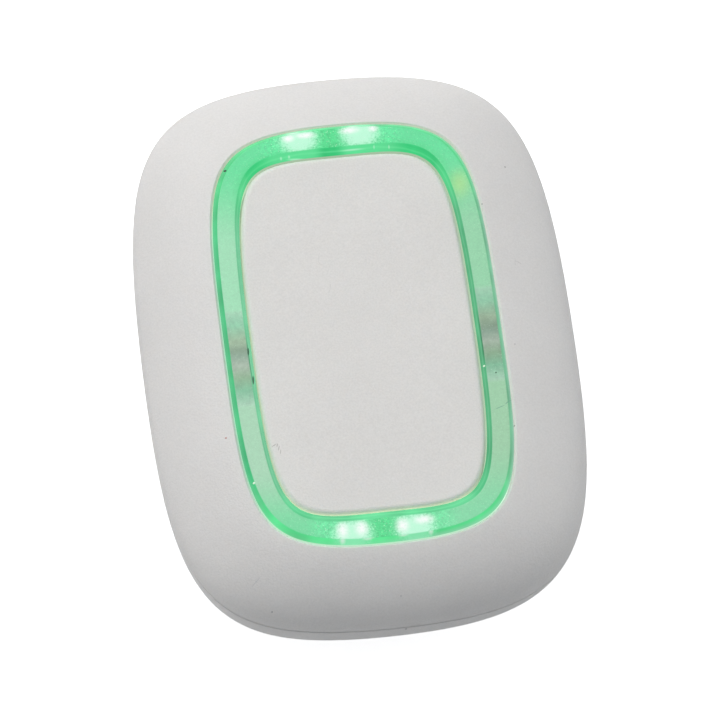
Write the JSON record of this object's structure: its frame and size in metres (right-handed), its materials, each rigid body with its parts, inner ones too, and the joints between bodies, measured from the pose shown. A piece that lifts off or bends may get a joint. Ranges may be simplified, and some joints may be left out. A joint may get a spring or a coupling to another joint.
{
  "type": "wireless panic button",
  "caption": "White pebble-shaped wireless panic button with a large oval push cap, a lit green ring around it and a coin cell, radio board and lanyard bar inside its two covers.",
  "frame": {"origin": "middle of the flat back that the part lies on, under the centre of the button cap", "axes": "+Z out of the face, the way the button cap looks; +Y along the long axis, towards the end with the lanyard bar; +X across the face to the right as the face is looked at with +Y up"},
  "size_m": [0.035, 0.047, 0.016],
  "materials": {
    "shell_plastic": "fine matte texture, white",
    "cap_plastic": "fine matte texture, warm white",
    "lit_ring_plastic": "clear plastic with a frosted crest, lit green from below",
    "silicone": "translucent white silicone",
    "frame_plastic": "dark grey moulded plastic",
    "screw_steel": "zinc-plated",
    "board_laminate": "green solder mask",
    "switch_plastic": "black moulded plastic",
    "spring_steel": "bright rolled sheet",
    "plunger_plastic": "light grey moulded plastic",
    "lamp_plastic": "white package with a clear lens",
    "chip_epoxy": "black moulding compound",
    "tin_plate": "tinned sheet",
    "capacitor_ceramic": "brown ceramic with tinned ends",
    "cell_steel": "nickel-plated, fine grain",
    "foam": "dark closed-cell foam"
  },
  "bodies": {
    "housing": {"rear_cover": "shell_plastic", "front_cover": "shell_plastic", "housing_seal": "silicone", "light_ring": "lit_ring_plastic", "key_membrane": "silicone", "inner_frame": "frame_plastic", "frame_screws": "screw_steel", "circuit_board": "board_laminate", "board_screws": "screw_steel", "switch_base": "switch_plastic", "switch_cover": "spring_steel", "switch_dome": "spring_steel", "led_1": "lamp_plastic", "led_2": "lamp_plastic", "led_3": "lamp_plastic", "led_4": "lamp_plastic", "microcontroller": "chip_epoxy", "crystal": "tin_plate", "radio_shield": "tin_plate", "chip_capacitors": "capacitor_ceramic", "antenna_strip": "tin_plate", "coin_cell": "cell_steel", "battery_pad": "foam", "battery_holder": "switch_plastic", "battery_contact_negative": "spring_steel", "battery_contact_positive": "spring_steel"},
    "button": {"button_cap": "cap_plastic"},
    "plunger": {"switch_plunger": "plunger_plastic"}
  },
  "joints": [
    {"name": "button_press", "type": "slide", "parent": "housing", "child": "button", "axis": [0, 0, 1], "range_m": [-0.0003, 0], "stiffness_N_per_m": 1500, "deforming": ["key_membrane"]},
    {"name": "switch_press", "type": "slide", "parent": "housing", "child": "plunger", "axis": [0, 0, 1], "range_m": [-0.0003, 0], "deforming": ["switch_dome"]}
  ],
  "couplings": [
    {"joint": "switch_press", "follows": "button_press", "ratio": 1}
  ]
}
